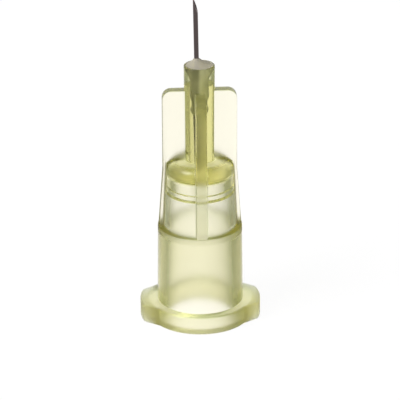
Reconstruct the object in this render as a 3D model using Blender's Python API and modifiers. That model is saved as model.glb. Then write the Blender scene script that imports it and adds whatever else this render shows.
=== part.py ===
"""Mesotherapy needle, 0.3 mm by 4 mm: a moulded hub, a steel cannula and the adhesive that holds it.

The hub stands on its flange. Its axis is the Z axis, and the origin is the middle of its bottom face.
Run with: blender --background --python part.py
"""

import math

import bmesh
import bpy
import numpy as np
from mathutils import Matrix, Vector

MM = 0.001

# Facets round the axis of the hub and of the needle
HUB_FACETS = 64
CANNULA_FACETS = 24

# Flange: a ring with two lugs that screw into a locking collar
FLANGE_THICKNESS = 1.21 * MM
RING_RADIUS = 3.31 * MM
RING_LOWER_ROUND = 0.12 * MM
RING_UPPER_ROUND = 0.15 * MM
LUG_TIP_RADIUS = 3.87 * MM
LUG_TIP_WIDTH = 2.40 * MM
LUG_ROOT_WIDTH = 3.74 * MM
LUG_CORNER_ROUND = 0.45 * MM
LUG_EDGE_ROUND = 0.10 * MM

# Skirt: the thick lower barrel, up to the ledge where the fins stand
SKIRT_FOOT_RADIUS = 2.76 * MM
SKIRT_TOP_RADIUS = 2.69 * MM
LEDGE_HEIGHT = 6.37 * MM
LEDGE_ROUND = 0.06 * MM

# Barrel: the thinner upper part, which ends in a round shoulder
BARREL_FOOT_RADIUS = 2.34 * MM
BARREL_FOOT_FILLET = 0.12 * MM
BARREL_TOP_RADIUS = 2.15 * MM
SHOULDER_HEIGHT = 10.86 * MM
SHOULDER_ROUND = 0.65 * MM

# Stem: the column that holds the cannula
STEM_FOOT_RADIUS = 0.955 * MM
STEM_TOP_RADIUS = 0.975 * MM
HUB_HEIGHT = 17.14 * MM
RIM_ROUND = 0.06 * MM

# Four fins that stiffen the stem and give the fingers a grip
FIN_COUNT = 4
FIN_THICKNESS = 0.68 * MM
FIN_RADIUS = 2.35 * MM
FIN_FOOT_INSET = 0.05 * MM
FIN_TOP_HEIGHT = 15.54 * MM
FIN_FLARE_HEIGHT = 10.30 * MM
FIN_CORNER_ROUND = 0.58 * MM

# Socket: the conical bore that takes the nose of a syringe, a 6 % taper on its diameter
SOCKET_MOUTH_RADIUS = 2.15 * MM
SOCKET_TAPER = 0.06
SOCKET_DEPTH = 8.54 * MM
MOUTH_CHAMFER = 0.10 * MM

# Chamber above the socket: two steps and a rounded ceiling
LOWER_STEP_DEPTH = 0.08 * MM
LOWER_STEP_HEIGHT = 0.46 * MM
UPPER_STEP_DEPTH = 0.14 * MM
CHAMBER_HEIGHT = 9.79 * MM
CEILING_ROUND = 0.25 * MM

# Passage from the chamber to the cannula
PASSAGE_MOUTH_RADIUS = 0.40 * MM
PASSAGE_RADIUS = 0.12 * MM
PASSAGE_FUNNEL_HEIGHT = 0.25 * MM
BORE_RADIUS = 0.24 * MM

# Glue well in the top of the stem
WELL_MOUTH_RADIUS = 0.87 * MM
WELL_RADIUS = 0.39 * MM
WELL_FLARE_DEPTH = 0.95 * MM
WELL_FLARE_POWER = 1.6
WELL_NECK_RADIUS = 0.32 * MM
WELL_NECK_DEPTH = 2.35 * MM
WELL_NECK_LENGTH = 0.27 * MM
WELL_NECK_SLOPE = 0.30 * MM
WELL_BULGE_RADIUS = 0.38 * MM
WELL_DEPTH = 3.50 * MM

# Cannula: a tube with a lancet point, a little off upright as the adhesive left it
CANNULA_RADIUS = 0.15 * MM
CANNULA_BORE_RADIUS = 0.08 * MM
CANNULA_FOOT_HEIGHT = 10.24 * MM
CANNULA_SHOWN_LENGTH = 4.00 * MM
CANNULA_LEAN = math.radians(1.20)
BEVEL_LENGTH = 1.08 * MM
BEVEL_TURN = math.radians(-20.0)
LANCET_ANGLE = math.radians(20.0)
LANCET_TURN = math.radians(40.0)
LANCET_TIP_WIDTH = 0.02 * MM

# Adhesive: how far it stands up round the cannula, and the gap that it keeps in the model
MENISCUS_HEIGHT = 0.48 * MM
MENISCUS_POWER = 1.7
ADHESIVE_FOOT_DEPTH = 3.05 * MM
SEAT_CLEARANCE = 0.01 * MM
CANNULA_SEAT_GAP = 0.02 * MM

# Length by which cutters and buried ends run past the faces that they meet
OVERRUN = 0.30 * MM
# Distance under which two points are one, far below the smallest edge of the hub
WELD_DISTANCE = 1e-7


def clear_scene():
    for item in list(bpy.data.objects):
        bpy.data.objects.remove(item, do_unlink=True)


def add_collection(name):
    collection = bpy.data.collections.new(name)
    bpy.context.scene.collection.children.link(collection)
    return collection


def make_material(name, colour, roughness, metallic=0.0, transmission=0.0):
    material = bpy.data.materials.new(name)
    material.use_nodes = True
    shader = material.node_tree.nodes["Principled BSDF"]
    shader.inputs["Base Color"].default_value = (*colour, 1.0)
    shader.inputs["Roughness"].default_value = roughness
    shader.inputs["Metallic"].default_value = metallic
    shader.inputs["Transmission Weight"].default_value = transmission
    material.diffuse_color = (*colour, 1.0)
    return material


def arc(centre, radius, start, end, steps):
    """Points on a circle about centre, from the start angle to the end angle in degrees."""
    angles = np.radians(np.linspace(start, end, steps + 1))
    return [(centre[0] + radius * math.cos(a), centre[1] + radius * math.sin(a)) for a in angles]


def hide_as_cutter(item):
    item.hide_render = True
    item.display_type = "WIRE"


def turned(name, profile, collection, facets, closed=False):
    """Turn a profile of (radius, height) points about Z. It runs down its outer side, top to bottom."""
    mesh = bpy.data.meshes.new(name)
    points = [(radius, 0.0, height) for radius, height in profile]
    edges = [(i, i + 1) for i in range(len(points) - 1)]
    if closed:
        edges.append((len(points) - 1, 0))
    mesh.from_pydata(points, edges, [])
    item = bpy.data.objects.new(name, mesh)
    collection.objects.link(item)
    screw = item.modifiers.new("Turn", "SCREW")
    screw.axis = "Z"
    screw.steps = facets
    screw.render_steps = facets
    screw.use_merge_vertices = True
    screw.merge_threshold = WELD_DISTANCE
    screw.use_normal_calculate = False
    return item


def frozen(item):
    """Replace an object by a welded mesh of what its modifiers or its curve give."""
    depsgraph = bpy.context.evaluated_depsgraph_get()
    depsgraph.update()
    mesh = bpy.data.meshes.new_from_object(item.evaluated_get(depsgraph))
    work = bmesh.new()
    work.from_mesh(mesh)
    bmesh.ops.remove_doubles(work, verts=work.verts, dist=WELD_DISTANCE)
    work.to_mesh(mesh)
    work.free()
    copy = bpy.data.objects.new(item.name + "_mesh", mesh)
    copy.matrix_world = item.matrix_world
    for collection in item.users_collection:
        collection.objects.link(copy)
    bpy.data.objects.remove(item, do_unlink=True)
    return copy


def plate(name, outline, thickness, placing, collection, edge_round=0.0):
    """A flat plate with this outline in its own XY plane, lying thickness / 2 to each side of it."""
    curve = bpy.data.curves.new(name, "CURVE")
    curve.dimensions = "2D"
    curve.fill_mode = "BOTH"
    curve.extrude = thickness / 2.0 - edge_round
    curve.bevel_depth = edge_round
    curve.bevel_resolution = 1
    curve.offset = -edge_round
    spline = curve.splines.new("POLY")
    spline.points.add(len(outline) - 1)
    for point, (x, y) in zip(spline.points, outline):
        point.co = (x, y, 0.0, 1.0)
    spline.use_cyclic_u = True
    item = bpy.data.objects.new(name, curve)
    item.matrix_world = placing
    collection.objects.link(item)
    return frozen(item)


def combine(item, other, operation):
    boolean = item.modifiers.new(operation.capitalize() + " " + other.name, "BOOLEAN")
    boolean.operation = operation
    boolean.solver = "EXACT"
    boolean.object = other
    hide_as_cutter(other)


def socket_radius(height):
    return SOCKET_MOUTH_RADIUS - SOCKET_TAPER / 2.0 * height


def hub_outer_profile():
    """Outside of the hub without lugs and fins, from the middle of the rim down to the bottom face."""
    rim = arc((STEM_TOP_RADIUS - RIM_ROUND, HUB_HEIGHT - RIM_ROUND), RIM_ROUND, 90.0, 0.0, 3)
    shoulder_centre = (BARREL_TOP_RADIUS - SHOULDER_ROUND, SHOULDER_HEIGHT - SHOULDER_ROUND)
    shoulder = arc(shoulder_centre, SHOULDER_ROUND, 90.0, 0.0, 7)
    fillet_centre = (BARREL_FOOT_RADIUS + BARREL_FOOT_FILLET, LEDGE_HEIGHT + BARREL_FOOT_FILLET)
    fillet = arc(fillet_centre, BARREL_FOOT_FILLET, 180.0, 270.0, 3)
    ledge_centre = (SKIRT_TOP_RADIUS - LEDGE_ROUND, LEDGE_HEIGHT - LEDGE_ROUND)
    ledge = arc(ledge_centre, LEDGE_ROUND, 90.0, 0.0, 2)
    upper_centre = (RING_RADIUS - RING_UPPER_ROUND, FLANGE_THICKNESS - RING_UPPER_ROUND)
    ring_upper = arc(upper_centre, RING_UPPER_ROUND, 90.0, 0.0, 2)
    ring_lower = arc((RING_RADIUS - RING_LOWER_ROUND, RING_LOWER_ROUND), RING_LOWER_ROUND, 0.0, -90.0, 4)
    return (
        [(0.0, HUB_HEIGHT)]
        + rim
        + [(STEM_FOOT_RADIUS, SHOULDER_HEIGHT)]
        + shoulder
        + fillet
        + ledge
        + [(SKIRT_FOOT_RADIUS, FLANGE_THICKNESS)]
        + ring_upper
        + ring_lower
        + [(0.0, 0.0)]
    )


def well_profile():
    """Glue well from the rim down: a flared mouth, a straight part, a neck, a bulge and a cone."""
    depth_shares = np.linspace(0.0, 1.0, 7)
    flare = [
        (
            WELL_RADIUS + (WELL_MOUTH_RADIUS - WELL_RADIUS) * (1.0 - share) ** WELL_FLARE_POWER,
            HUB_HEIGHT - WELL_FLARE_DEPTH * share,
        )
        for share in depth_shares
    ]
    neck_top = HUB_HEIGHT - WELL_NECK_DEPTH
    neck_foot = neck_top - WELL_NECK_LENGTH
    return flare + [
        (WELL_RADIUS, neck_top + WELL_NECK_SLOPE),
        (WELL_NECK_RADIUS, neck_top),
        (WELL_NECK_RADIUS, neck_foot),
        (WELL_BULGE_RADIUS, neck_foot - WELL_NECK_SLOPE),
        (BORE_RADIUS, HUB_HEIGHT - WELL_DEPTH),
    ]


def hub_inner_profile():
    """Everything that the core pins leave open: well, bore, passage, chamber and socket."""
    socket_top = socket_radius(SOCKET_DEPTH)
    lower_step = socket_top - LOWER_STEP_DEPTH
    upper_step = lower_step - UPPER_STEP_DEPTH
    upper_step_height = SOCKET_DEPTH + LOWER_STEP_HEIGHT
    ceiling_centre = (upper_step - CEILING_ROUND, CHAMBER_HEIGHT - CEILING_ROUND)
    ceiling = arc(ceiling_centre, CEILING_ROUND, 90.0, 0.0, 4)
    stop_height = CANNULA_FOOT_HEIGHT - CANNULA_SEAT_GAP
    mouth_radius = SOCKET_MOUTH_RADIUS + MOUTH_CHAMFER
    return (
        [(0.0, HUB_HEIGHT + OVERRUN), (WELL_MOUTH_RADIUS, HUB_HEIGHT + OVERRUN)]
        + well_profile()
        + [
            (BORE_RADIUS, stop_height),
            (PASSAGE_RADIUS, stop_height),
            (PASSAGE_RADIUS, CHAMBER_HEIGHT + PASSAGE_FUNNEL_HEIGHT),
            (PASSAGE_MOUTH_RADIUS, CHAMBER_HEIGHT),
        ]
        + ceiling
        + [
            (upper_step, upper_step_height + UPPER_STEP_DEPTH),
            (lower_step, upper_step_height),
            (lower_step, SOCKET_DEPTH + LOWER_STEP_DEPTH),
            (socket_top, SOCKET_DEPTH),
            (socket_radius(MOUTH_CHAMFER), MOUTH_CHAMFER),
            (mouth_radius, 0.0),
            (mouth_radius, -OVERRUN),
            (0.0, -OVERRUN),
        ]
    )


def lug_quarter():
    """Outline of half a lug in the first quarter of the plan, from inside the ring to the lug's tip.

    The lug's side is a straight line. A fillet joins it to the arc of the tip: its centre lies one
    fillet radius inside that line and one fillet radius inside that arc.
    """
    root = Vector((math.sqrt(RING_RADIUS**2 - (LUG_ROOT_WIDTH / 2.0) ** 2), LUG_ROOT_WIDTH / 2.0))
    tip = Vector((math.sqrt(LUG_TIP_RADIUS**2 - (LUG_TIP_WIDTH / 2.0) ** 2), LUG_TIP_WIDTH / 2.0))
    along = (tip - root).normalized()
    inward = Vector((along.y, -along.x))
    offset = root + LUG_CORNER_ROUND * inward
    reach = LUG_TIP_RADIUS - LUG_CORNER_ROUND
    half_b = offset.dot(along)
    distance = -half_b + math.sqrt(half_b**2 - offset.length_squared + reach**2)
    centre = offset + distance * along
    start = math.degrees(math.atan2(-inward.y, -inward.x))
    end = math.degrees(math.atan2(centre.y, centre.x))
    buried = root - OVERRUN * along
    corner = arc(centre, LUG_CORNER_ROUND, start, end, 4)
    tip_arc = arc((0.0, 0.0), LUG_TIP_RADIUS, end, 0.0, 4)
    return [tuple(buried)] + corner + tip_arc[1:]


def flange_outline():
    """The two lugs as one outline, which crosses the middle of the hub inside the ring."""
    quarter = lug_quarter()
    right = quarter + [(x, -y) for x, y in reversed(quarter[:-1])]
    return right + [(-x, -y) for x, y in right]


def fin_outline():
    """Two opposite fins as one outline in the plane of the axis, which crosses the stem."""
    foot_radius = SKIRT_TOP_RADIUS - FIN_FOOT_INSET
    foot_height = LEDGE_HEIGHT - LEDGE_ROUND
    corner_centre = (FIN_RADIUS - FIN_CORNER_ROUND, FIN_TOP_HEIGHT - FIN_CORNER_ROUND)
    right = [
        (foot_radius - OVERRUN, foot_height - OVERRUN),
        (foot_radius, foot_height),
        (FIN_RADIUS, FIN_FLARE_HEIGHT),
    ] + arc(corner_centre, FIN_CORNER_ROUND, 0.0, 90.0, 5)
    return right + [(-x, y) for x, y in reversed(right)]


def make_hub(parts, cutters, material):
    """One moulding: the turned body, the lugs and the fins are joined, then the core pins cut it."""
    hub = turned("hub", hub_outer_profile(), parts, HUB_FACETS)
    flange_middle = Matrix.Translation((0.0, 0.0, FLANGE_THICKNESS / 2.0))
    lugs = plate("lugs", flange_outline(), FLANGE_THICKNESS, flange_middle, cutters, LUG_EDGE_ROUND)
    combine(hub, lugs, "UNION")
    upright = Matrix.Rotation(math.radians(90.0), 4, "X")
    for index in range(FIN_COUNT // 2):
        turn = Matrix.Rotation(2.0 * math.pi * index / FIN_COUNT, 4, "Z")
        fins = plate("fins_%d" % (index + 1), fin_outline(), FIN_THICKNESS, turn @ upright, cutters)
        combine(hub, fins, "UNION")
    core = frozen(turned("core_pins", hub_inner_profile(), cutters, HUB_FACETS))
    combine(hub, core, "DIFFERENCE")
    hub.data.materials.append(material)
    return hub


def cannula_placing():
    """The cannula's own frame: its foot on the hub's axis, and its length leaning towards -X."""
    lean = Matrix.Rotation(-CANNULA_LEAN, 4, "Y")
    return Matrix.Translation((0.0, 0.0, CANNULA_FOOT_HEIGHT)) @ lean


def cannula_shift(height):
    """How far the cannula's axis has left the hub's axis at a height."""
    return -math.tan(CANNULA_LEAN) * (height - CANNULA_FOOT_HEIGHT)


def grinding_block(name, size, point, slope, turn, placing, collection):
    """A cube whose lower face lies on a ground face of the point, past which it removes the steel."""
    bpy.ops.mesh.primitive_cube_add(size=size)
    block = bpy.context.object
    block.name = name
    for owner in list(block.users_collection):
        owner.objects.unlink(block)
    collection.objects.link(block)
    tilt = Matrix.Rotation(turn, 4, "Z") @ Matrix.Rotation(math.radians(90.0) - slope, 4, "Y")
    block.matrix_world = placing @ Matrix.Translation(point) @ tilt @ Matrix.Translation((0.0, 0.0, size / 2.0))
    return block


def make_cannula(parts, cutters, material):
    """A drawn tube whose point has one long bevel and two short side grinds, a lancet."""
    top = HUB_HEIGHT + MENISCUS_HEIGHT + CANNULA_SHOWN_LENGTH
    length = (top - CANNULA_FOOT_HEIGHT) / math.cos(CANNULA_LEAN)
    tube = [
        (CANNULA_RADIUS, length + OVERRUN),
        (CANNULA_RADIUS, 0.0),
        (CANNULA_BORE_RADIUS, 0.0),
        (CANNULA_BORE_RADIUS, length + OVERRUN),
    ]
    cannula = turned("cannula", tube, parts, CANNULA_FACETS, closed=True)
    placing = cannula_placing() @ Matrix.Rotation(BEVEL_TURN, 4, "Z")
    cannula.matrix_world = placing
    block_size = 3.0 * BEVEL_LENGTH
    bevel_angle = math.atan2(2.0 * CANNULA_RADIUS, BEVEL_LENGTH)
    tip = Vector((-CANNULA_RADIUS, 0.0, length))
    bevel = grinding_block("bevel_grind", block_size, tip, bevel_angle, 0.0, placing, cutters)
    combine(cannula, bevel, "DIFFERENCE")
    for side in (-1.0, 1.0):
        point = tip + Vector((0.0, side * LANCET_TIP_WIDTH / 2.0, 0.0))
        name = "side_grind_left" if side < 0.0 else "side_grind_right"
        grind = grinding_block(name, block_size, point, LANCET_ANGLE, side * LANCET_TURN, placing, cutters)
        combine(cannula, grind, "DIFFERENCE")
    cannula.data.materials.append(material)
    return cannula


def adhesive_profile():
    """The filled part of the well, one clearance inside its wall, under a hollow-sided meniscus."""
    well = well_profile()
    foot_height = HUB_HEIGHT - ADHESIVE_FOOT_DEPTH
    radii = [radius for radius, height in reversed(well)]
    heights = [height for radius, height in reversed(well)]
    foot_radius = float(np.interp(foot_height, heights, radii))
    side = [(radius - SEAT_CLEARANCE, height) for radius, height in well if height > foot_height]
    edge = side[0][0]
    shares = np.linspace(0.0, 1.0, 8)[:-1]
    inner = CANNULA_RADIUS
    meniscus = [
        (inner + (edge - inner) * share, HUB_HEIGHT + MENISCUS_HEIGHT * (1.0 - share) ** MENISCUS_POWER)
        for share in shares
    ]
    peak = (0.0, HUB_HEIGHT + MENISCUS_HEIGHT)
    return [peak] + meniscus + side + [(foot_radius - SEAT_CLEARANCE, foot_height), (0.0, foot_height)]


def make_adhesive(parts, cutters, material):
    """The plug is turned, its meniscus is pushed over to the cannula, and the cannula's way is cut."""
    adhesive = frozen(turned("adhesive_plug", adhesive_profile(), parts, HUB_FACETS))
    adhesive.name = "adhesive"
    peak_height = HUB_HEIGHT + MENISCUS_HEIGHT
    edge = WELL_MOUTH_RADIUS - SEAT_CLEARANCE
    for vertex in adhesive.data.vertices:
        if vertex.co.z > HUB_HEIGHT:
            radius = math.hypot(vertex.co.x, vertex.co.y)
            share = min(1.0, (edge - radius) / (edge - CANNULA_RADIUS))
            vertex.co.x += cannula_shift(peak_height) * share
    way_profile = [
        (0.0, peak_height - CANNULA_FOOT_HEIGHT + OVERRUN),
        (CANNULA_RADIUS + SEAT_CLEARANCE, peak_height - CANNULA_FOOT_HEIGHT + OVERRUN),
        (CANNULA_RADIUS + SEAT_CLEARANCE, 0.0),
        (0.0, 0.0),
    ]
    way = turned("cannula_way", way_profile, cutters, CANNULA_FACETS)
    way.matrix_world = cannula_placing() @ Matrix.Rotation(BEVEL_TURN, 4, "Z")
    combine(adhesive, frozen(way), "DIFFERENCE")
    adhesive.data.materials.append(material)
    return adhesive


def shade(item, angle):
    """Smooth round faces, and leave the edges sharper than this angle."""
    item.data.shade_smooth()
    item.data.set_sharp_from_angle(angle=math.radians(angle))


def main():
    clear_scene()
    parts = add_collection("mesotherapy_needle")
    cutters = add_collection("cutters")
    plastic = make_material("hub_plastic", (0.72, 0.70, 0.33), 0.18, transmission=0.85)
    steel = make_material("cannula_steel", (0.62, 0.60, 0.58), 0.22, metallic=1.0)
    epoxy = make_material("cured_adhesive", (0.66, 0.63, 0.50), 0.35)
    hub = make_hub(parts, cutters, plastic)
    cannula = make_cannula(parts, cutters, steel)
    adhesive = make_adhesive(parts, cutters, epoxy)
    for item in (hub, cannula, adhesive):
        shade(item, 32.0)


main()
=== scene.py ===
"""Dressed model of a short mesotherapy needle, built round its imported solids.

The hub is one clear moulding, the cannula a ground steel tube, and the adhesive the milky plug
between them. Every length is in metres, in the frame of the solids: Z is the hub's axis.
"""

import math

import bmesh
import bpy
import numpy as np
from mathutils import Matrix, Vector


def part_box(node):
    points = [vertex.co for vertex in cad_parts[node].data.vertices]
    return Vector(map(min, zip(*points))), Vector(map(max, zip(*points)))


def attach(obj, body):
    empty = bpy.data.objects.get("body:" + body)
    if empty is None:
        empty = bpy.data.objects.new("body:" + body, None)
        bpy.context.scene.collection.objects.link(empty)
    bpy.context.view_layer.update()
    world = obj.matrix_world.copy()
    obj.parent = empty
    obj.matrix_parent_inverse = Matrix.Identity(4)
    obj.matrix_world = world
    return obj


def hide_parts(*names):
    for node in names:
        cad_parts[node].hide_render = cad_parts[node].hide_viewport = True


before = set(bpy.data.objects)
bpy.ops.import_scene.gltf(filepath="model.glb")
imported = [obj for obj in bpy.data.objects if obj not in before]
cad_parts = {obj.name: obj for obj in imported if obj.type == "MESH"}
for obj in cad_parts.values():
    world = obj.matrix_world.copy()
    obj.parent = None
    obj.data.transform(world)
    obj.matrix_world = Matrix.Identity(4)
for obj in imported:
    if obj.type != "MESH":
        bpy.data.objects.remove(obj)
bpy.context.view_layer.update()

bl_info = {
    "name": "Mesotherapy Needle",
    "version": (1, 0, 0),
    "blender": (4, 5, 0),
    "location": "View3D > Sidebar > Needle",
    "description": "Builds a mesotherapy needle with a clear finned hub, and the studio round it",
    "category": "Add Mesh",
}

MM = 0.001
HUB_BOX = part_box("hub")
HUB_HEIGHT = HUB_BOX[1].z
LUG_TIP_RADIUS = HUB_BOX[1].x
RING_RADIUS = HUB_BOX[1].y
CANNULA_TIP_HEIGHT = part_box("cannula")[1].z
# Points closer together than these are one: in a profile, and in a mesh after its Booleans
SAME_POINT = 0.00001 * MM
WELD_DISTANCE = 0.0004 * MM
# How far cutters and buried ends run past the faces that they meet
CUTTER_OVERRUN = 0.3 * MM
PLATE_ROUND_RINGS = 7
PLASTIC_INDEX = 1.49
ADHESIVE_INDEX = 1.08
LIGHT_BOUNCES = 32


class HubSettings(bpy.types.PropertyGroup):
    """Sizes and finish of the moulded hub"""

    facets: bpy.props.IntProperty(
        name="Facets", description="Facets round the hub's axis", default=256, min=32, max=512
    )
    flange_thickness: bpy.props.FloatProperty(
        name="Flange", description="Thickness of the flange", default=1.21 * MM, unit="LENGTH", precision=5
    )
    lug_tip_width: bpy.props.FloatProperty(
        name="Lug tip", description="Width of a lug at its tip", default=2.40 * MM, unit="LENGTH", precision=5
    )
    lug_root_width: bpy.props.FloatProperty(
        name="Lug root", description="Width of a lug at the ring", default=3.74 * MM,
        unit="LENGTH", precision=5,
    )
    skirt_foot_radius: bpy.props.FloatProperty(
        name="Skirt foot", description="Radius of the skirt on the flange", default=2.76 * MM,
        unit="LENGTH", precision=5,
    )
    skirt_top_radius: bpy.props.FloatProperty(
        name="Skirt top", description="Radius of the skirt at the ledge", default=2.69 * MM,
        unit="LENGTH", precision=5,
    )
    ledge_height: bpy.props.FloatProperty(
        name="Ledge", description="Height of the ledge", default=6.37 * MM, unit="LENGTH", precision=5
    )
    barrel_foot_radius: bpy.props.FloatProperty(
        name="Barrel foot", description="Radius of the barrel on the ledge", default=2.34 * MM,
        unit="LENGTH", precision=5,
    )
    barrel_top_radius: bpy.props.FloatProperty(
        name="Barrel top", description="Radius of the barrel under its shoulder", default=2.15 * MM,
        unit="LENGTH", precision=5,
    )
    shoulder_height: bpy.props.FloatProperty(
        name="Shoulder", description="Height of the shoulder", default=10.86 * MM, unit="LENGTH", precision=5
    )
    shoulder_round: bpy.props.FloatProperty(
        name="Shoulder round", description="Radius of the round at the top of the barrel",
        default=0.65 * MM, unit="LENGTH", precision=5,
    )
    stem_foot_radius: bpy.props.FloatProperty(
        name="Stem foot", description="Radius of the stem on the shoulder", default=0.955 * MM,
        unit="LENGTH", precision=6,
    )
    stem_top_radius: bpy.props.FloatProperty(
        name="Stem top", description="Radius of the stem at its rim", default=0.975 * MM,
        unit="LENGTH", precision=6,
    )
    fin_thickness: bpy.props.FloatProperty(
        name="Fin thickness", description="Thickness of a fin", default=0.68 * MM, unit="LENGTH", precision=5
    )
    fin_radius: bpy.props.FloatProperty(
        name="Fin reach", description="Distance of a fin's upright edge from the axis", default=2.35 * MM,
        unit="LENGTH", precision=5,
    )
    fin_foot_radius: bpy.props.FloatProperty(
        name="Fin foot", description="Distance of a fin's foot on the ledge from the axis",
        default=2.64 * MM, unit="LENGTH", precision=5,
    )
    fin_top_height: bpy.props.FloatProperty(
        name="Fin top", description="Height of the fins' top edge", default=15.54 * MM,
        unit="LENGTH", precision=5,
    )
    fin_flare_height: bpy.props.FloatProperty(
        name="Fin flare", description="Height under which the fins widen", default=10.30 * MM,
        unit="LENGTH", precision=5,
    )
    fin_edge_round: bpy.props.FloatProperty(
        name="Fin edge round", description="Radius of the fins' rounded edges", default=0.06 * MM,
        unit="LENGTH", precision=5,
    )
    fin_fillet: bpy.props.FloatProperty(
        name="Fin fillet", description="Radius of the fillets between the fins and the barrel",
        default=0.13 * MM, unit="LENGTH", precision=5,
    )
    socket_mouth_radius: bpy.props.FloatProperty(
        name="Socket mouth", description="Radius of the socket at its mouth", default=2.15 * MM,
        unit="LENGTH", precision=5,
    )
    socket_depth: bpy.props.FloatProperty(
        name="Socket depth", description="Depth of the conical socket", default=8.54 * MM,
        unit="LENGTH", precision=5,
    )
    chamber_height: bpy.props.FloatProperty(
        name="Chamber ceiling", description="Height of the chamber's ceiling", default=9.72 * MM,
        unit="LENGTH", precision=5,
    )
    tint: bpy.props.FloatVectorProperty(
        name="Plastic tint", description="Colour that the plastic lets through", subtype="COLOR",
        default=(0.820, 0.790, 0.200), min=0.0, max=1.0,
    )
    tint_density: bpy.props.FloatProperty(
        name="Tint density", description="How fast the plastic takes up light, per metre", default=450.0
    )
    roughness: bpy.props.FloatProperty(
        name="Roughness", description="Roughness of the turned faces", default=0.16, min=0.0, max=1.0
    )
    fin_roughness: bpy.props.FloatProperty(
        name="Fin roughness", description="Roughness of the fins", default=0.35, min=0.0, max=1.0
    )
    fin_edge_roughness: bpy.props.FloatProperty(
        name="Fin edge roughness", description="Roughness of the fins' outer edges", default=0.65, min=0.0,
        max=1.0,
    )
    shoulder_roughness: bpy.props.FloatProperty(
        name="Shoulder roughness", description="Roughness of the shoulder", default=0.26, min=0.0, max=1.0
    )
    fillet_roughness: bpy.props.FloatProperty(
        name="Fillet roughness", description="Roughness of the fillets beside the fins", default=0.75,
        min=0.0, max=1.0,
    )
    ledge_roughness: bpy.props.FloatProperty(
        name="Ledge roughness", description="Roughness of the ledge and of the skirt just under it",
        default=0.50, min=0.0, max=1.0,
    )
    flange_roughness: bpy.props.FloatProperty(
        name="Lug roughness", description="Roughness of the lugs, and in part of the ring between them",
        default=0.85, min=0.0, max=1.0,
    )
    cavity_roughness: bpy.props.FloatProperty(
        name="Cavity roughness", description="Roughness of the cavity's faces", default=0.30, min=0.0,
        max=1.0,
    )


class CannulaSettings(bpy.types.PropertyGroup):
    """Sizes and finish of the steel tube"""

    radius: bpy.props.FloatProperty(
        name="Radius", description="Outer radius of the tube", default=0.15 * MM, unit="LENGTH", precision=6
    )
    bore_radius: bpy.props.FloatProperty(
        name="Bore", description="Inner radius of the tube", default=0.08 * MM, unit="LENGTH", precision=6
    )
    foot_height: bpy.props.FloatProperty(
        name="Foot", description="Height of the tube's foot in the hub", default=10.24 * MM,
        unit="LENGTH", precision=5,
    )
    foot_side: bpy.props.FloatProperty(
        name="Foot side", description="Distance of the tube's foot from the axis, to the left",
        default=0.05 * MM, unit="LENGTH", precision=6,
    )
    lean: bpy.props.FloatProperty(
        name="Lean", description="Lean of the tube towards -X", default=math.radians(0.95), unit="ROTATION"
    )
    bevel_length: bpy.props.FloatProperty(
        name="Bevel", description="Length of the long bevel", default=1.08 * MM, unit="LENGTH", precision=5
    )
    bevel_turn: bpy.props.FloatProperty(
        name="Bevel turn", description="Turn of the point about the tube", default=math.radians(-20.0),
        unit="ROTATION",
    )
    colour: bpy.props.FloatVectorProperty(
        name="Steel", description="Colour of the bare steel", subtype="COLOR", default=(0.295, 0.235, 0.23),
        min=0.0, max=1.0,
    )
    # Painted shade: a darker steel colour for the tube inside the hub, standing in for the shade it lies in
    # under the adhesive.
    shaded_steel_colour: bpy.props.FloatVectorProperty(
        name="Coated steel", description="Colour of the tube inside the hub, where adhesive wets it",
        subtype="COLOR", default=(0.12, 0.10, 0.06), min=0.0, max=1.0,
    )
    roughness: bpy.props.FloatProperty(
        name="Roughness", description="Roughness of the steel", default=0.18, min=0.0, max=1.0
    )


class AdhesiveSettings(bpy.types.PropertyGroup):
    """Sizes and finish of the cured adhesive"""

    meniscus_height: bpy.props.FloatProperty(
        name="Meniscus", description="Height of the meniscus over the rim", default=0.48 * MM,
        unit="LENGTH", precision=5,
    )
    mouth_radius: bpy.props.FloatProperty(
        name="Mouth", description="Radius of the plug in the rim", default=0.87 * MM,
        unit="LENGTH", precision=5,
    )
    colour: bpy.props.FloatVectorProperty(
        name="Adhesive", description="Colour of the adhesive over the rim", subtype="COLOR",
        default=(0.69, 0.645, 0.52), min=0.0, max=1.0,
    )
    # Painted shade and painted light: inside the stem the adhesive is painted darker on its -X side and
    # lighter on its +X side, for the light that comes through it.
    painted_shade_colour: bpy.props.FloatVectorProperty(
        name="Thin side", description="Colour of the adhesive inside the stem, where it is thin",
        subtype="COLOR", default=(0.60, 0.58, 0.40), min=0.0, max=1.0,
    )
    painted_light_colour: bpy.props.FloatVectorProperty(
        name="Thick side", description="Colour of the adhesive inside the stem, where it is thick",
        subtype="COLOR", default=(1.0, 0.98, 0.80), min=0.0, max=1.0,
    )
    roughness: bpy.props.FloatProperty(
        name="Roughness", description="Roughness of the adhesive", default=0.45, min=0.0, max=1.0
    )
    clearness: bpy.props.FloatProperty(
        name="Clearness", description="Share of the light that goes through the adhesive", default=0.35,
        min=0.0, max=1.0,
    )


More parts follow.
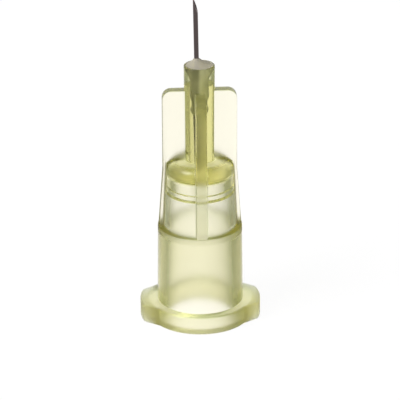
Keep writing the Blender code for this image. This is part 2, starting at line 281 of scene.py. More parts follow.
class StageSettings(bpy.types.PropertyGroup):
    """Camera and light"""

    azimuth: bpy.props.FloatProperty(
        name="Azimuth", description="Camera's place round the hub", default=math.radians(-3.2),
        unit="ROTATION",
    )
    elevation: bpy.props.FloatProperty(
        name="Elevation", description="Camera's height angle", default=math.radians(23.8), unit="ROTATION"
    )
    roll: bpy.props.FloatProperty(
        name="Roll", description="Turn of the camera about its line of sight", default=math.radians(-0.25),
        unit="ROTATION",
    )
    distance: bpy.props.FloatProperty(
        name="Distance", description="Camera's distance from its target", default=160.0 * MM,
        unit="LENGTH",
    )
    target_height: bpy.props.FloatProperty(
        name="Target", description="Height of the point in the middle of the picture", default=7.95 * MM,
        unit="LENGTH",
    )
    target_side: bpy.props.FloatProperty(
        name="Target side", description="Distance of the picture's middle from the axis, to the right",
        default=0.01 * MM, unit="LENGTH",
    )
    picture_width: bpy.props.FloatProperty(
        name="Picture width", description="Width seen at the target", default=400.0 / 15.70 * MM,
        unit="LENGTH",
    )
    tent_level: bpy.props.FloatProperty(
        name="Tent", description="Strength of the tent where it is brightest", default=1.41
    )
    tent_left: bpy.props.FloatProperty(
        name="Tent left", description="Share of the tent's strength behind, to the left", default=1.0
    )
    tent_middle: bpy.props.FloatProperty(
        name="Tent middle", description="Share of the tent's strength straight behind", default=0.84
    )
    tent_right: bpy.props.FloatProperty(
        name="Tent right", description="Share of the tent's strength behind, to the right", default=0.60
    )
    tent_side: bpy.props.FloatProperty(
        name="Tent side", description="Share of the tent's strength at the sides", default=0.28
    )
    tent_colour: bpy.props.FloatVectorProperty(
        name="Tent colour", description="Colour of the tent behind the needle", subtype="COLOR",
        default=(0.975, 0.95, 0.99), min=0.0, max=1.0,
    )
    tent_side_colour: bpy.props.FloatVectorProperty(
        name="Tent side colour", description="Colour of the tent at the sides", subtype="COLOR",
        default=(0.92, 1.0, 0.72), min=0.0, max=1.0,
    )
    backdrop_level: bpy.props.FloatProperty(
        name="Backdrop", description="Strength of the backdrop that metal and gloss show", default=1.0
    )
    room_level: bpy.props.FloatProperty(
        name="Room", description="Strength of the room that metal and gloss show", default=0.30
    )


def arc(centre, radius, start, end, steps):
    """Points centre + radius * (cos a, sin a), for the angle a from start to end in degrees."""
    angles = np.radians(np.linspace(start, end, steps + 1))
    return np.column_stack((centre[0] + radius * np.cos(angles), centre[1] + radius * np.sin(angles)))


def chain(*stretches):
    """Stretches of points joined end to end, with repeated points dropped."""
    points = np.vstack([np.atleast_2d(np.asarray(stretch, float)) for stretch in stretches])
    gaps = np.linalg.norm(np.diff(points, axis=0), axis=1)
    return points[np.concatenate(([True], gaps > SAME_POINT))]


def placed(points, placing):
    """The points turned and moved by a matrix."""
    return points @ np.array(placing.to_3x3()).T + np.array(placing.translation)


def add_mesh(name, vertices, faces):
    """A mesh object from arrays of points and of faces, turned right side out by its signed volume."""
    mesh = bpy.data.meshes.new(name)
    mesh.from_pydata(vertices.tolist(), [], faces)
    mesh.validate()
    mesh.calc_loop_triangles()
    corners = np.empty(len(mesh.loop_triangles) * 3, dtype=np.int32)
    mesh.loop_triangles.foreach_get("vertices", corners)
    triangles = vertices[corners.reshape(-1, 3)]
    volume = np.einsum("ij,ij->i", triangles[:, 0], np.cross(triangles[:, 1], triangles[:, 2])).sum()
    if volume < 0.0:
        mesh.flip_normals()
    item = bpy.data.objects.new(name, mesh)
    bpy.context.scene.collection.objects.link(item)
    return item


def lathe(name, profile, facets, shift=None):
    """Surface of revolution: the point (r(v) cos u, r(v) sin u, z(v)).

    The angle u goes round the axis, and v down the profile, which starts and ends on the axis: there a
    ring is one point, and its faces are triangles. A shift moves each ring along X by its radius and height.
    """
    radii, heights = profile[1:-1, 0], profile[1:-1, 1]
    angles = np.arange(facets) * 2.0 * math.pi / facets
    rings = np.stack(
        (
            radii[:, None] * np.cos(angles)[None, :],
            radii[:, None] * np.sin(angles)[None, :],
            np.repeat(heights[:, None], facets, axis=1),
        ),
        axis=-1,
    )
    if shift is not None:
        rings[:, :, 0] += shift(radii, heights)[:, None]
    poles = np.array([[0.0, 0.0, profile[0, 1]], [0.0, 0.0, profile[-1, 1]]])
    if shift is not None:
        poles[:, 0] += shift(profile[[0, -1], 0], profile[[0, -1], 1])
    vertices = np.vstack((rings.reshape(-1, 3), poles))
    count = len(radii)
    index = np.arange(count * facets).reshape(count, facets)
    onward = np.roll(index, -1, axis=1)
    quads = np.stack((index[:-1], index[1:], onward[1:], onward[:-1]), axis=-1).reshape(-1, 4)
    top = np.column_stack((np.full(facets, count * facets), index[0], onward[0]))
    foot = np.column_stack((np.full(facets, count * facets + 1), onward[-1], index[-1]))
    return add_mesh(name, vertices, quads.tolist() + top.tolist() + foot.tolist())


def capped_faces(rows, columns):
    """Faces of a grid of closed rings: quads from each ring to the next, and one face over either end."""
    index = np.arange(rows * columns).reshape(rows, columns)
    onward = np.roll(index, -1, axis=1)
    quads = np.stack((index[:-1], onward[:-1], onward[1:], index[1:]), axis=-1).reshape(-1, 4)
    return quads.tolist() + [index[0][::-1].tolist(), index[-1].tolist()]


def rounded_plate(name, outline, half_thickness, edge_round, placing):
    """A plate: its outline is carried over a section of two quarter circles joined by an upright.

    At the angle a of the section the outline is moved in by edge_round * (1 - cos a), along the mean
    of the normals of its two neighbouring sides, and up by half_thickness - edge_round * (1 - sin a).
    """
    ahead = np.roll(outline, -1, axis=0) - outline
    ahead /= np.linalg.norm(ahead, axis=1)[:, None]
    normals = np.column_stack((ahead[:, 1], -ahead[:, 0]))
    before = np.roll(normals, 1, axis=0)
    mitre = (normals + before) / (1.0 + (normals * before).sum(axis=1))[:, None]
    angles = np.radians(np.linspace(90.0, 0.0, PLATE_ROUND_RINGS))
    insets = edge_round * (1.0 - np.cos(angles))
    lifts = half_thickness - edge_round * (1.0 - np.sin(angles))
    insets = np.concatenate((insets, insets[::-1]))
    lifts = np.concatenate((lifts, -lifts[::-1]))
    flat = outline[None, :, :] - insets[:, None, None] * mitre[None, :, :]
    rings = np.concatenate((flat, np.repeat(lifts[:, None, None], len(outline), axis=1)), axis=2)
    return add_mesh(name, placed(rings.reshape(-1, 3), placing), capped_faces(*rings.shape[:2]))


def merge_pieces(name, base, joined, cut):
    """One mesh: the base with the joined pieces added and then the cut pieces taken away.

    The Booleans leave flat slivers where faces met in one plane, and the weld clears them.
    """
    for other, operation in [(item, "UNION") for item in joined] + [(item, "DIFFERENCE") for item in cut]:
        boolean = base.modifiers.new(other.name, "BOOLEAN")
        boolean.operation = operation
        boolean.solver = "EXACT"
        boolean.object = other
    depsgraph = bpy.context.evaluated_depsgraph_get()
    depsgraph.update()
    mesh = bpy.data.meshes.new_from_object(base.evaluated_get(depsgraph))
    work = bmesh.new()
    work.from_mesh(mesh)
    bmesh.ops.remove_doubles(work, verts=work.verts, dist=WELD_DISTANCE)
    bmesh.ops.dissolve_degenerate(work, edges=work.edges, dist=WELD_DISTANCE)
    work.to_mesh(mesh)
    work.free()
    for item in (base, *joined, *cut):
        bpy.data.objects.remove(item, do_unlink=True)
    piece = bpy.data.objects.new(name, mesh)
    bpy.context.scene.collection.objects.link(piece)
    return piece


def smooth(piece, angle):
    """Smooth shading, but for the edges that bend by more than the angle in degrees."""
    piece.data.shade_smooth()
    piece.data.set_sharp_from_angle(angle=math.radians(angle))


def hub_outer_profile(hub):
    """Outside of the turned body from the middle of the rim down to the middle of the bottom face."""
    rim_round = 0.06 * MM
    stem_fillet = 0.05 * MM
    ledge_round = 0.06 * MM
    barrel_fillet = 0.12 * MM
    upper_round = 0.15 * MM
    lower_round = 0.12 * MM
    rim = (hub.stem_top_radius - rim_round, HUB_HEIGHT - rim_round)
    stem_foot = (hub.stem_foot_radius + stem_fillet, hub.shoulder_height + stem_fillet)
    shoulder = (hub.barrel_top_radius - hub.shoulder_round, hub.shoulder_height - hub.shoulder_round)
    barrel_foot = (hub.barrel_foot_radius + barrel_fillet, hub.ledge_height + barrel_fillet)
    ledge = (hub.skirt_top_radius - ledge_round, hub.ledge_height - ledge_round)
    return chain(
        [0.0, HUB_HEIGHT],
        arc(rim, rim_round, 90.0, 0.0, steps=8),
        arc(stem_foot, stem_fillet, 180.0, 270.0, steps=6),
        arc(shoulder, hub.shoulder_round, 90.0, 0.0, steps=24),
        arc(barrel_foot, barrel_fillet, 180.0, 270.0, steps=8),
        arc(ledge, ledge_round, 90.0, 0.0, steps=6),
        [hub.skirt_foot_radius, hub.flange_thickness],
        arc((RING_RADIUS - upper_round, hub.flange_thickness - upper_round), upper_round, 90.0, 0.0, steps=6),
        arc((RING_RADIUS - lower_round, lower_round), lower_round, 0.0, -90.0, steps=10),
        [0.0, 0.0],
    )


def hub_core_profile(hub):
    """What the core pin leaves open: the conical socket and the stepped chamber above it."""
    radius_taper = 0.03
    mouth_chamfer = 0.10 * MM
    lower_step_depth = 0.24 * MM
    lower_step_foot = hub.socket_depth + 0.02 * MM
    lower_step_rise = 0.11 * MM
    upper_step_depth = 0.12 * MM
    upper_step_foot = hub.socket_depth + 0.38 * MM
    upper_step_rise = 0.05 * MM
    ceiling_round = 0.25 * MM
    funnel_radius = 0.40 * MM
    funnel_height = 0.25 * MM
    passage_radius = 0.12 * MM
    top = hub.socket_mouth_radius - radius_taper * hub.socket_depth
    middle = top - lower_step_depth
    upper = middle - upper_step_depth
    mouth = hub.socket_mouth_radius + mouth_chamfer
    ceiling = (upper - ceiling_round, hub.chamber_height - ceiling_round)
    return chain(
        [0.0, hub.chamber_height + funnel_height],
        [passage_radius, hub.chamber_height + funnel_height],
        [funnel_radius, hub.chamber_height],
        arc(ceiling, ceiling_round, 90.0, 0.0, steps=10),
        [upper, upper_step_foot + upper_step_rise],
        [middle, upper_step_foot],
        [middle, lower_step_foot + lower_step_rise],
        [top, lower_step_foot],
        [hub.socket_mouth_radius - radius_taper * mouth_chamfer, mouth_chamfer],
        [mouth, 0.0],
        [mouth, -CUTTER_OVERRUN],
        [0.0, -CUTTER_OVERRUN],
    )


def lug_outline(hub):
    """Plan of the two lugs, which taper to a tip on a circle about the axis and have rounded corners.

    A corner's centre lies on the line that keeps the corner's radius from the lug's side, where that
    line meets the circle that keeps the same radius from the tip.
    """
    corner_round = 0.45 * MM
    root = Vector((math.sqrt(RING_RADIUS**2 - (hub.lug_root_width / 2) ** 2), hub.lug_root_width / 2))
    tip = Vector((math.sqrt(LUG_TIP_RADIUS**2 - (hub.lug_tip_width / 2) ** 2), hub.lug_tip_width / 2))
    along = (tip - root).normalized()
    inward = Vector((along.y, -along.x))
    offset = root + corner_round * inward
    passed = offset.dot(along)
    reach = LUG_TIP_RADIUS - corner_round
    centre = offset + (-passed + math.sqrt(passed**2 - offset.length_squared + reach**2)) * along
    start = math.degrees(math.atan2(-inward.y, -inward.x))
    end = math.degrees(math.atan2(centre.y, centre.x))
    quarter = chain(
        root - CUTTER_OVERRUN * along,
        arc(centre, corner_round, start, end, steps=10),
        arc((0.0, 0.0), LUG_TIP_RADIUS, end, 0.0, steps=12),
    )
    right = np.vstack((quarter, quarter[-2::-1] * [1.0, -1.0]))
    return np.vstack((right, right * [-1.0, -1.0]))[::-1]


def fin_outline(hub):
    """Side view of two opposite fins, from one skirt wall to the other across the stem."""
    corner_round = 0.58 * MM
    foot_sink = 0.06 * MM
    foot_height = hub.ledge_height - foot_sink
    corner = (hub.fin_radius - corner_round, hub.fin_top_height - corner_round)
    right = chain(
        [hub.fin_foot_radius - CUTTER_OVERRUN, foot_height - CUTTER_OVERRUN],
        [hub.fin_foot_radius, foot_height],
        [hub.fin_radius, hub.fin_flare_height],
        arc(corner, corner_round, 0.0, 90.0, steps=12),
    )
    return np.vstack((right, right[::-1] * [-1.0, 1.0]))


def fin_fillets(hub):
    """The barrel just under its skin, with a ridge along each fin that fills the corners beside it.

    Each column keeps one distance s from the middle plane of a fin. Its radius is the barrel's at that
    height plus f - sqrt(f^2 - (f - t)^2), where f is the fillet's radius and t is how far s lies past the
    fin's face. On the round of the shoulder this rise fades with the cosine of the round's angle.
    """
    depth = 0.01 * MM
    foot_sink = 0.03 * MM
    last_turn = 85.0
    half = hub.fin_thickness / 2
    past_face = hub.fin_fillet * np.linspace(0.125, 1.0, 8)
    rise = hub.fin_fillet - np.sqrt(hub.fin_fillet**2 - (hub.fin_fillet - past_face) ** 2)
    offsets = np.concatenate(([0.0, half - depth], half + past_face))
    rise = np.concatenate(([hub.fin_fillet, hub.fin_fillet], rise))
    offsets = np.concatenate((-offsets[:0:-1], offsets))
    rise = np.concatenate((rise[:0:-1], rise))
    turn = np.radians(np.linspace(0.0, last_turn, 18))
    round_radius = hub.shoulder_round - depth
    shoulder_radii = hub.barrel_top_radius - hub.shoulder_round + round_radius * np.cos(turn)
    shoulder_heights = hub.shoulder_height - hub.shoulder_round + round_radius * np.sin(turn)
    radii = np.concatenate(([hub.barrel_foot_radius - depth], shoulder_radii))
    heights = np.concatenate(([hub.ledge_height - foot_sink], shoulder_heights))
    fade = np.concatenate(([1.0], np.cos(turn)))
    reach = radii[:, None] + fade[:, None] * rise[None, :]
    angles = np.arcsin(offsets[None, :] / reach)
    reach = np.column_stack((reach, radii))
    angles = np.column_stack((angles, np.full(len(radii), math.radians(45.0))))
    quarters = np.radians([0.0, 90.0, 180.0, 270.0])
    angles = (angles[:, None, :] + quarters[None, :, None]).reshape(len(radii), -1)
    reach = np.tile(reach, (1, len(quarters)))
    rings = np.stack(
        (reach * np.cos(angles), reach * np.sin(angles), np.repeat(heights[:, None], reach.shape[1], axis=1)),
        axis=-1,
    )
    return add_mesh("fin_fillets", rings.reshape(-1, 3), capped_faces(*rings.shape[:2]))


def build_hub(hub):
    """The moulding: turned body, lugs, fins and fillets in one, with the core pin's form taken out."""
    lug_edge_round = 0.10 * MM
    base = lathe("turned_body", hub_outer_profile(hub), hub.facets)
    flange_middle = Matrix.Translation((0.0, 0.0, hub.flange_thickness / 2))
    lugs = rounded_plate("lugs", lug_outline(hub), hub.flange_thickness / 2, lug_edge_round, flange_middle)
    upright = Matrix.Rotation(math.radians(90.0), 4, "X")
    fins = [
        rounded_plate("fins", fin_outline(hub), hub.fin_thickness / 2, hub.fin_edge_round, turn @ upright)
        for turn in (Matrix.Identity(4), Matrix.Rotation(math.radians(90.0), 4, "Z"))
    ]
    core = lathe("core_pin", hub_core_profile(hub), hub.facets)
    piece = merge_pieces("hub_moulding", base, [lugs, *fins, fin_fillets(hub)], [core])
    smooth(piece, 25.0)
    return piece


def build_cannula(cannula):
    """A tube whose rings go up its outside, over the ground end, down its bore and back at the foot.

    A ground plane falls away from the tip at a slope, in a direction turned about the tube. At the
    point (x, y) the tube ends at the lowest plane there, so the end curve is a function of the angle.
    """
    facets = 96
    lancet_slope = math.radians(20.0)
    lancet_turn = math.radians(40.0)
    half_tip_width = 0.01 * MM
    foot = Vector((-cannula.foot_side, 0.0, cannula.foot_height))
    length = (CANNULA_TIP_HEIGHT - cannula.foot_height) / math.cos(cannula.lean)
    angles = np.arange(facets) * 2.0 * math.pi / facets
    grinds = [
        (math.atan2(2.0 * cannula.radius, cannula.bevel_length), 0.0, 0.0),
        (lancet_slope, lancet_turn, half_tip_width),
        (lancet_slope, -lancet_turn, -half_tip_width),
    ]

    def end_height(x, y):
        """Height of the ground end over the point (x, y)."""
        planes = [
            length
            - ((x + cannula.radius) * math.cos(turn) + (y - side) * math.sin(turn)) / math.tan(slope)
            for slope, turn, side in grinds
        ]
        return np.minimum(np.minimum.reduce(planes), length)

    def ring(radius, height):
        """A ring of points at one height, or on the ground end where no height is given."""
        x, y = radius * np.cos(angles), radius * np.sin(angles)
        top = end_height(x, y) if height is None else np.full(facets, height)
        return np.column_stack((x, y, top))

    wall = cannula.radius - cannula.bore_radius
    straight = length - 1.5 * cannula.bevel_length
    outer = [ring(cannula.radius, height) for height in np.linspace(0.0, straight, 12)]
    face = [ring(cannula.radius - wall * share, None) for share in np.linspace(0.0, 1.0, 6)]
    inner = [ring(cannula.bore_radius, height) for height in (straight, 0.0)]
    rings = np.array(outer + face + inner)
    rows = len(rings)
    index = np.arange(rows * facets).reshape(rows, facets)
    onward = np.roll(index, -1, axis=1)
    above, above_on = np.roll(index, -1, axis=0), np.roll(onward, -1, axis=0)
    quads = np.stack((index, onward, above_on, above), axis=-1).reshape(-1, 4)
    placing = (
        Matrix.Translation(foot)
        @ Matrix.Rotation(-cannula.lean, 4, "Y")
        @ Matrix.Rotation(cannula.bevel_turn, 4, "Z")
    )
    piece = add_mesh("steel_cannula", placed(rings.reshape(-1, 3), placing), quads.tolist())
    smooth(piece, 30.0)
    return piece


def build_adhesive(adhesive, cannula):
    """Turned plug under a meniscus, pushed over to the leaning cannula.

    With the share going from 0 at the cannula to 1 at the rim, the meniscus stands over the rim by its
    height times (1 - share) ** 1.7. Down the flare of the well the radius shrinks to the neck's as
    (1 - depth) ** 1.6, for the depth from 0 to 1. Under it lie the neck, the bulge and the foot.
    """
    gap = 0.01 * MM
    rim_rise = 0.004 * MM
    meniscus_power = 1.7
    well_radius = 0.39 * MM
    flare_depth = 0.95 * MM
    flare_power = 1.6
    edge = adhesive.mouth_radius - gap
    rim = HUB_HEIGHT + rim_rise
    start = 0.9 * cannula.radius
    shares = np.linspace(0.0, 1.0, 40)
    stand = adhesive.meniscus_height * (1.0 - shares) ** meniscus_power
    meniscus = np.column_stack((start + (edge - start) * shares, rim + stand))
    depths = np.linspace(0.0, 1.0, 30)
    flare_radii = well_radius + (edge - well_radius) * (1.0 - depths) ** flare_power
    flare = np.column_stack((flare_radii, HUB_HEIGHT - flare_depth * depths))
    # Radius and depth under the rim, in millimetres
    lower = MM * np.array(
        [[0.39, 2.05], [0.32, 2.35], [0.32, 2.62], [0.38, 2.92], [0.31, 3.15], [0.17, 3.45]]
    )
    lower[:, 1] = HUB_HEIGHT - lower[:, 1]
    lean = math.tan(cannula.lean)

    def shift(radii, heights):
        """Over the rim, rings near the cannula follow its lean, and the outer edge stays in the well."""
        share = np.clip((edge - radii) / (edge - cannula.radius), 0.0, 1.0)
        over = (cannula.foot_side + lean * (heights - cannula.foot_height)) * share
        return np.where(heights > HUB_HEIGHT, -over, 0.0)

    profile = chain([0.0, rim + adhesive.meniscus_height], meniscus, flare, lower, [0.0, lower[-1, 1]])
    piece = lathe("adhesive_plug", profile, 128, shift)
    smooth(piece, 40.0)
    return piece


def new_material(name):
    """A material with its own shader, and the nodes and links of its tree."""
    material = bpy.data.materials.new(name)
    material.use_nodes = True
    return material, material.node_tree.nodes, material.node_tree.links


def coordinates(nodes, links, kind):
    """The X, Y and Z outputs of one kind of texture coordinates."""
    place = nodes.new("ShaderNodeTexCoord")
    split = nodes.new("ShaderNodeSeparateXYZ")
    links.new(place.outputs[kind], split.inputs["Vector"])
    return tuple(split.outputs)


def feed(links, socket, value):
    """Link an output into a socket, or set the socket to a number or to a colour of three numbers."""
    if isinstance(value, bpy.types.NodeSocket):
        links.new(value, socket)
    else:
        socket.default_value = (*value, 1.0) if socket.type == "RGBA" else value


def math_node(nodes, links, operation, first, second=None, third=None):
    """A Math node fed with sockets or plain numbers; its output socket."""
    node = nodes.new("ShaderNodeMath")
    node.operation = operation
    for socket, value in zip(node.inputs, (first, second, third)):
        if value is not None:
            feed(links, socket, value)
    return node.outputs[0]


def ramp_node(nodes, links, value, start, end, low, high):
    """A smooth rise from low to high while the value goes from start to end; its output socket."""
    node = nodes.new("ShaderNodeMapRange")
    node.interpolation_type = "SMOOTHSTEP"
    node.inputs["From Min"].default_value = start
    node.inputs["From Max"].default_value = end
    node.inputs["To Min"].default_value = low
    node.inputs["To Max"].default_value = high
    links.new(value, node.inputs["Value"])
    return node.outputs["Result"]


def above_height(nodes, links, height):
    """1 where the piece lies over this height and 0 below it; the output socket."""
    return math_node(nodes, links, "GREATER_THAN", coordinates(nodes, links, "Object")[2], height)


def two_colours(nodes, links, share, first, second):
    """The first colour where the share is 0 and the second where it is 1; the output socket."""
    mix = nodes.new("ShaderNodeMix")
    mix.data_type = "RGBA"
    for socket, colour in zip((item for item in mix.inputs if item.type == "RGBA"), (first, second)):
        feed(links, socket, colour)
    links.new(share, mix.inputs["Factor"])
    return next(socket for socket in mix.outputs if socket.type == "RGBA")


def mix_shaders(nodes, links, share, first, second):
    """The first shader where the share is 0 and the second where it is 1; the output socket."""
    mix = nodes.new("ShaderNodeMixShader")
    links.new(share, mix.inputs["Fac"])
    links.new(first, mix.inputs[1])
    links.new(second, mix.inputs[2])
    return mix.outputs["Shader"]


def background(nodes, links, colour, strength):
    """A background of one colour and strength, each a plain value or an output; its own output socket."""
    shader = nodes.new("ShaderNodeBackground")
    feed(links, shader.inputs["Color"], colour)
    feed(links, shader.inputs["Strength"], strength)
    return shader.outputs["Background"]


def clear_plastic(hub):
    """Tinted polypropylene: its colour deepens with depth, and its finish goes by face.

    A face is known by its distance from the hub's axis, its height and its distance from the fins'
    middle planes. The turned faces are the glossiest. The shoulder, the ledge, the fins, their edges
    and fillets, the cavity and the lugs are duller, each by its own roughness.
    """
    material, nodes, links = new_material("tinted_polypropylene")
    x, y, z = coordinates(nodes, links, "Object")

    def above(value, limit):
        return math_node(nodes, links, "GREATER_THAN", value, limit)

    def below(value, limit):
        return math_node(nodes, links, "LESS_THAN", value, limit)

    def times(first, second):
        return math_node(nodes, links, "MULTIPLY", first, second)

    def times_plus(first, second, third):
        return math_node(nodes, links, "MULTIPLY_ADD", first, second, third)

    def larger(first, second):
        return math_node(nodes, links, "MAXIMUM", first, second)

    def less(first, second):
        return math_node(nodes, links, "SUBTRACT", first, second)

    # How far from a face the bounds of its zone lie
    skin = 0.002 * MM
    hair = 0.005 * MM
    margin = 0.01 * MM
    # How far a zone goes up or down from its edge
    fin_top_zone = 0.40 * MM
    shoulder_zone = 0.70 * MM
    ledge_zone = 0.12 * MM
    skirt_zone = 0.40 * MM
    funnel_zone = 0.30 * MM
    # What part of the added roughness the fins' edge rounds lose, and what part the ring gets
    edge_round_share = 0.5
    ring_share = 0.33
    half_fin = hub.fin_thickness / 2

    radius = math_node(nodes, links, "SQRT", times_plus(y, y, times(x, x)))
    x_size = math_node(nodes, links, "ABSOLUTE", x)
    y_size = math_node(nodes, links, "ABSOLUTE", y)
    off_middle = math_node(nodes, links, "MINIMUM", x_size, y_size)

    rise = hub.shoulder_height - hub.shoulder_round - hub.ledge_height
    slope = (hub.barrel_top_radius - hub.barrel_foot_radius) / rise
    barrel_radius = times_plus(z, slope, hub.barrel_foot_radius - slope * hub.ledge_height)
    past_barrel = above(less(radius, barrel_radius), margin)
    lower_fin = times(above(z, hub.ledge_height + 2 * margin), past_barrel)
    upper_fin = times(above(z, hub.shoulder_height - 5 * margin), above(radius, hub.stem_top_radius + hair))
    fin = larger(upper_fin, lower_fin)

    flat = below(off_middle, half_fin - hub.fin_edge_round + margin)
    upright_edge = above(radius, hub.fin_radius - 3 * margin)
    top_edge = times(above(z, hub.fin_top_height - fin_top_zone), below(x_size, y_size))
    edge_face = times(flat, larger(upright_edge, top_edge))
    round_zone = times(less(1.0, flat), above(radius, hub.fin_radius - hub.fin_edge_round))
    edge_round = times(round_zone, below(off_middle, half_fin - skin))
    broad_face = times_plus(edge_round, -edge_round_share, 1.0)
    broad_finish = times(broad_face, hub.fin_roughness - hub.roughness)
    fin_finish = times_plus(edge_face, hub.fin_edge_roughness - hub.fin_roughness, broad_finish)
    finish = times_plus(fin, fin_finish, hub.roughness)

    fillet = times(lower_fin, above(off_middle, half_fin + hair))
    finish = larger(finish, times(fillet, hub.fillet_roughness))
    under_top = below(z, hub.shoulder_height + 3 * margin)
    shoulder = times(under_top, above(z, hub.shoulder_height - shoulder_zone))
    ledge = times(below(z, hub.ledge_height + ledge_zone), above(z, hub.ledge_height - skirt_zone))
    matt = larger(times(shoulder, hub.shoulder_roughness), times(ledge, hub.ledge_roughness))
    finish = larger(finish, matt)

    inner = below(radius, hub.socket_mouth_radius + margin)
    cavity = times(inner, below(z, hub.chamber_height + funnel_zone))
    finish = times_plus(cavity, hub.cavity_roughness - hub.roughness, finish)
    under_skirt = below(z, hub.flange_thickness + margin)
    past_ring = ramp_node(
        nodes, links, radius, RING_RADIUS - 5 * margin, RING_RADIUS + 15 * margin, ring_share, 1.0
    )
    flange = times(times(under_skirt, past_ring), less(1.0, inner))
    finish = times_plus(flange, hub.flange_roughness - hub.roughness, finish)

    shader = nodes["Principled BSDF"]
    shader.inputs["Base Color"].default_value = (1.0, 1.0, 1.0, 1.0)
    shader.inputs["IOR"].default_value = PLASTIC_INDEX
    shader.inputs["Transmission Weight"].default_value = 1.0
    links.new(finish, shader.inputs["Roughness"])
    absorption = nodes.new("ShaderNodeVolumeAbsorption")
    absorption.inputs["Color"].default_value = (*hub.tint, 1.0)
    absorption.inputs["Density"].default_value = hub.tint_density
    links.new(absorption.outputs["Volume"], nodes["Material Output"].inputs["Volume"])
    return material


def ground_steel(cannula):
    """Drawn steel, which is painted darker inside the hub, where adhesive and plastic surround it: a painted
    shade in place of the dim light there.
    """
    material, nodes, links = new_material("drawn_steel")
    shader = nodes["Principled BSDF"]
    over_rim = above_height(nodes, links, HUB_HEIGHT)
    # Painted shade: under the rim the steel takes the darker colour.
    colour = two_colours(nodes, links, over_rim, cannula.shaded_steel_colour, cannula.colour)
    links.new(colour, shader.inputs["Base Color"])
    shader.inputs["Metallic"].default_value = 1.0
    shader.inputs["Roughness"].default_value = cannula.roughness
    return material


def milky_adhesive(adhesive):
    """Cloudy adhesive: part of its light goes through, and its edge against the plastic bends it little.

    Over the rim it has one colour. Inside the stem its colour goes from a painted shade on the plug's -X side
    to a painted light on its +X side, across the place where the cannula stands.
    """
    # Painted shade and painted light: the plug's colour ramps from its shaded -X side to its lit +X side.
    shaded_end, lit_end = -0.15 * MM, 0.06 * MM
    material, nodes, links = new_material("milky_adhesive")
    shader = nodes["Principled BSDF"]
    over_rim = above_height(nodes, links, HUB_HEIGHT - 0.02 * MM)
    across = ramp_node(nodes, links, coordinates(nodes, links, "Object")[0], shaded_end, lit_end, 0.0, 1.0)
    inside = two_colours(nodes, links, across, adhesive.painted_shade_colour, adhesive.painted_light_colour)
    colour = two_colours(nodes, links, over_rim, inside, adhesive.colour)
    links.new(colour, shader.inputs["Base Color"])
    shader.inputs["Roughness"].default_value = adhesive.roughness
    shader.inputs["IOR"].default_value = ADHESIVE_INDEX
    shader.inputs["Transmission Weight"].default_value = adhesive.clearness
    return material


class NEEDLE_OT_hub(bpy.types.Operator):
    """Build the moulded hub and give it its clear plastic"""

    bl_idname = "needle.hub"
    bl_label = "Hub"

    def execute(self, context):
        hub = context.scene.needle_hub
        piece = build_hub(hub)
        piece.data.materials.append(clear_plastic(hub))
        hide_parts("hub")
        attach(piece, "root")
        return {"FINISHED"}


class NEEDLE_OT_cannula(bpy.types.Operator):
    """Build the steel cannula with its lancet point"""

    bl_idname = "needle.cannula"
    bl_label = "Cannula"

    def execute(self, context):
        piece = build_cannula(context.scene.needle_cannula)
        piece.data.materials.append(ground_steel(context.scene.needle_cannula))
        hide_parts("cannula")
        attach(piece, "root")
        return {"FINISHED"}


class NEEDLE_OT_adhesive(bpy.types.Operator):
    """Build the plug of cured adhesive and its meniscus"""

    bl_idname = "needle.adhesive"
    bl_label = "Adhesive"

    def execute(self, context):
        scene = context.scene
        piece = build_adhesive(scene.needle_adhesive, scene.needle_cannula)
        piece.data.materials.append(milky_adhesive(scene.needle_adhesive))
        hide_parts("adhesive")
        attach(piece, "root")
        return {"FINISHED"}


def add_floor():
    """A pale floor: white to the camera under a soft shadow, and open to light that went through plastic."""
    reach = 0.4
    height = -0.01 * MM
    white_level = 1.04
    white_share = 0.9
    turns = ((-1.0, -1.0), (1.0, -1.0), (1.0, 1.0), (-1.0, 1.0))
    mesh = bpy.data.meshes.new("floor")
    mesh.from_pydata([(reach * x, reach * y, height) for x, y in turns], [], [(0, 1, 2, 3)])
    floor = bpy.data.objects.new("floor", mesh)
    bpy.context.scene.collection.objects.link(floor)
    material, nodes, links = new_material("pale_floor")
    shader = nodes["Principled BSDF"]
    shader.inputs["Base Color"].default_value = (0.97, 0.97, 0.97, 1.0)
    shader.inputs["Roughness"].default_value = 0.6
    path = nodes.new("ShaderNodeLightPath")
    white = nodes.new("ShaderNodeEmission")
    white.inputs["Strength"].default_value = white_level
    seen = math_node(nodes, links, "MULTIPLY", path.outputs["Is Camera Ray"], white_share)
    seen_mix = mix_shaders(nodes, links, seen, shader.outputs["BSDF"], white.outputs["Emission"])
    opening = nodes.new("ShaderNodeBsdfTransparent")
    through = math_node(
        nodes, links, "MAXIMUM", path.outputs["Is Transmission Ray"], path.outputs["Is Glossy Ray"]
    )
    open_mix = mix_shaders(nodes, links, through, seen_mix, opening.outputs["BSDF"])
    links.new(open_mix, nodes["Material Output"].inputs["Surface"])
    mesh.materials.append(material)


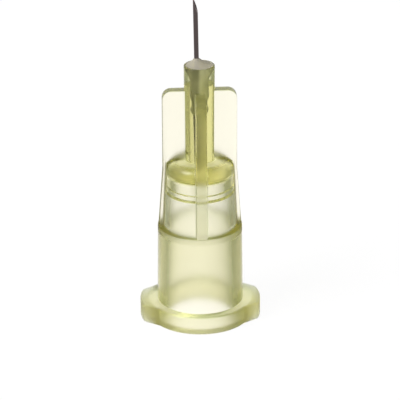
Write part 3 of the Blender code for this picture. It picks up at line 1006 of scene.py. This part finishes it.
def add_world(stage):
    """A dim room before the needle and a bright backdrop behind it; the camera sees plain white.

    Light that went through the plastic meets a pale tent, whose level goes by its direction from left
    to right, and is lower before the needle and under it. Each pair below holds the two shares of a
    ray's direction, along Y or Z, between which one light gives way to the next.
    """
    backdrop_turn = (0.60, 0.88)
    colour_turn = (0.60, 0.90)
    front_turn, front_share = (-0.35, 0.05), 0.75
    under_turn, under_share = (-0.85, -0.60), 0.6
    stops = (
        (0.0, stage.tent_side), (0.20, stage.tent_side), (0.32, stage.tent_left),
        (0.56, stage.tent_middle), (0.74, stage.tent_right), (0.82, stage.tent_side),
    )
    world = bpy.data.worlds.new("studio")
    world.use_nodes = True
    nodes, links = world.node_tree.nodes, world.node_tree.links
    nodes.clear()
    path = nodes.new("ShaderNodeLightPath")
    x, y, z = coordinates(nodes, links, "Generated")
    room = ramp_node(nodes, links, y, *backdrop_turn, stage.room_level, stage.backdrop_level)
    profile = nodes.new("ShaderNodeValToRGB")
    profile.color_ramp.interpolation = "EASE"
    elements = profile.color_ramp.elements
    elements.remove(elements[1])
    for across, share in stops:
        element = elements[0] if across == 0.0 else elements.new(across)
        element.color = (share, share, share, 1.0)
    links.new(math_node(nodes, links, "MULTIPLY_ADD", x, 0.5, 0.5), profile.inputs["Fac"])
    front = ramp_node(nodes, links, y, *front_turn, front_share, 1.0)
    under = ramp_node(nodes, links, z, *under_turn, under_share, 1.0)
    shade = math_node(nodes, links, "MULTIPLY", front, under)
    strength = math_node(nodes, links, "MULTIPLY", profile.outputs["Color"], shade)
    level = math_node(nodes, links, "MULTIPLY", strength, stage.tent_level)
    straight_behind = ramp_node(nodes, links, y, *colour_turn, 0.0, 1.0)
    colour = two_colours(nodes, links, straight_behind, stage.tent_side_colour, stage.tent_colour)
    tent = background(nodes, links, colour, level)
    studio = background(nodes, links, (1.0, 1.0, 1.0), room)
    white = background(nodes, links, (1.0, 1.0, 1.0), 1.0)
    around = mix_shaders(nodes, links, path.outputs["Is Transmission Ray"], studio, tent)
    seen = mix_shaders(nodes, links, path.outputs["Is Camera Ray"], around, white)
    output = nodes.new("ShaderNodeOutputWorld")
    links.new(seen, output.inputs["Surface"])
    bpy.context.scene.world = world


def add_area_light(name, place, target, size, power):
    """A square lamp that looks at the target."""
    light = bpy.data.lights.new(name, "AREA")
    light.shape = "SQUARE"
    light.size = size
    light.energy = power
    item = bpy.data.objects.new(name, light)
    item.location = place
    item.rotation_euler = (Vector(target) - Vector(place)).to_track_quat("-Z", "Y").to_euler()
    bpy.context.scene.collection.objects.link(item)


def add_camera(stage):
    """A camera on a sphere about its target, with the lens that shows the picture's width there."""
    camera = bpy.data.cameras.new("camera")
    camera.sensor_width = 36.0
    camera.lens = camera.sensor_width * stage.distance / stage.picture_width
    camera.clip_start = 0.001
    camera.clip_end = 10.0
    item = bpy.data.objects.new("camera", camera)
    azimuth, elevation = stage.azimuth, stage.elevation
    side = Vector((math.cos(azimuth), math.sin(azimuth), 0.0))
    level_back = Vector((math.sin(azimuth), -math.cos(azimuth), 0.0))
    back = math.cos(elevation) * level_back + Vector((0.0, 0.0, math.sin(elevation)))
    look = (-back).to_track_quat("-Z", "Y").to_matrix().to_4x4()
    place = Vector((0.0, 0.0, stage.target_height)) + stage.target_side * side + back * stage.distance
    item.matrix_world = Matrix.Translation(place) @ look @ Matrix.Rotation(stage.roll, 4, "Z")
    bpy.context.scene.collection.objects.link(item)
    bpy.context.scene.camera = item


class NEEDLE_OT_stage(bpy.types.Operator):
    """Set up the floor, the light and the camera"""

    bl_idname = "needle.stage"
    bl_label = "Stage"

    def execute(self, context):
        add_floor()
        add_world(context.scene.needle_stage)
        add_camera(context.scene.needle_stage)
        target = (0.0, 0.0, HUB_HEIGHT / 2)
        add_area_light("key_light", (-0.25, -0.15, 0.30), target, size=0.2, power=1.2)
        context.scene.view_settings.view_transform = "Standard"
        context.scene.cycles.max_bounces = LIGHT_BOUNCES
        context.scene.cycles.glossy_bounces = LIGHT_BOUNCES
        context.scene.cycles.transmission_bounces = LIGHT_BOUNCES
        return {"FINISHED"}


class NEEDLE_PT_panel(bpy.types.Panel):
    """Lists the steps that build the needle"""

    bl_label = "Needle"
    bl_idname = "NEEDLE_PT_panel"
    bl_space_type = "VIEW_3D"
    bl_region_type = "UI"
    bl_category = "Needle"

    def draw(self, context):
        """One button for each step"""
        for operator in OPERATORS:
            self.layout.operator(operator.bl_idname)


SETTINGS = {
    "needle_hub": HubSettings,
    "needle_cannula": CannulaSettings,
    "needle_adhesive": AdhesiveSettings,
    "needle_stage": StageSettings,
}
OPERATORS = (NEEDLE_OT_hub, NEEDLE_OT_cannula, NEEDLE_OT_adhesive, NEEDLE_OT_stage)


def register():
    """Register the classes and hang their settings on the scene."""
    for settings in SETTINGS.values():
        bpy.utils.register_class(settings)
    for name, settings in SETTINGS.items():
        setattr(bpy.types.Scene, name, bpy.props.PointerProperty(type=settings))
    for operator in OPERATORS:
        bpy.utils.register_class(operator)
    bpy.utils.register_class(NEEDLE_PT_panel)


def unregister():
    """Take away what register added."""
    bpy.utils.unregister_class(NEEDLE_PT_panel)
    for operator in reversed(OPERATORS):
        bpy.utils.unregister_class(operator)
    for name, settings in reversed(SETTINGS.items()):
        delattr(bpy.types.Scene, name)
        bpy.utils.unregister_class(settings)


def main():
    """Build the pieces and the stage."""
    register()
    bpy.ops.needle.hub()
    bpy.ops.needle.cannula()
    bpy.ops.needle.adhesive()
    bpy.ops.needle.stage()


if __name__ == "__main__":
    main()
